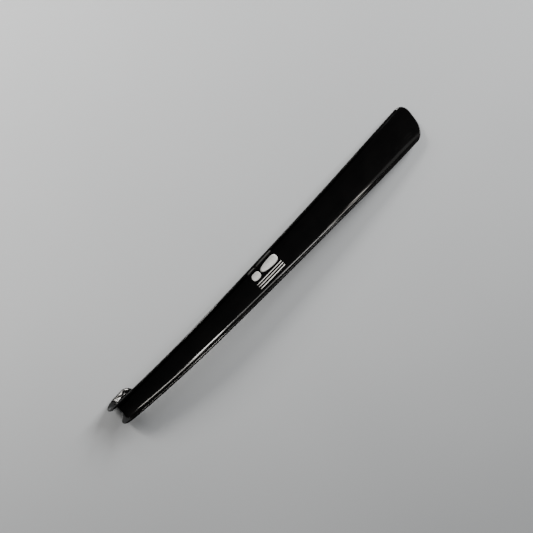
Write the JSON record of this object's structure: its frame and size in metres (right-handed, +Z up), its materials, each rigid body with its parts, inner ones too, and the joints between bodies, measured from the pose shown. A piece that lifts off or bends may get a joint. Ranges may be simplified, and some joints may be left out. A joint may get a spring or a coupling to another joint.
{
  "type": "long shoehorn",
  "caption": "Long-handled moulded plastic shoehorn with a trough-shaped shaft, a rounded blade and a hanging hook folded back at the handle end",
  "frame": {"origin": "middle of the bounding box's underside, with the shoehorn lying on its back on a flat surface, resting on the hook's rims and the blade's tip", "axes": "+X from the hook towards the blade's tip, +Y across the shoehorn, +Z up, out of the open trough"},
  "size_m": [0.4189, 0.0414, 0.0302],
  "materials": {
    "black_plastic": "polished injection-moulded black plastic with faint handling scratches",
    "white_ink": "pad-printed white ink, slightly uneven"
  },
  "bodies": {
    "root": {"shoehorn_body": "black_plastic", "printed_mark": "white_ink"}
  },
  "joints": []
}
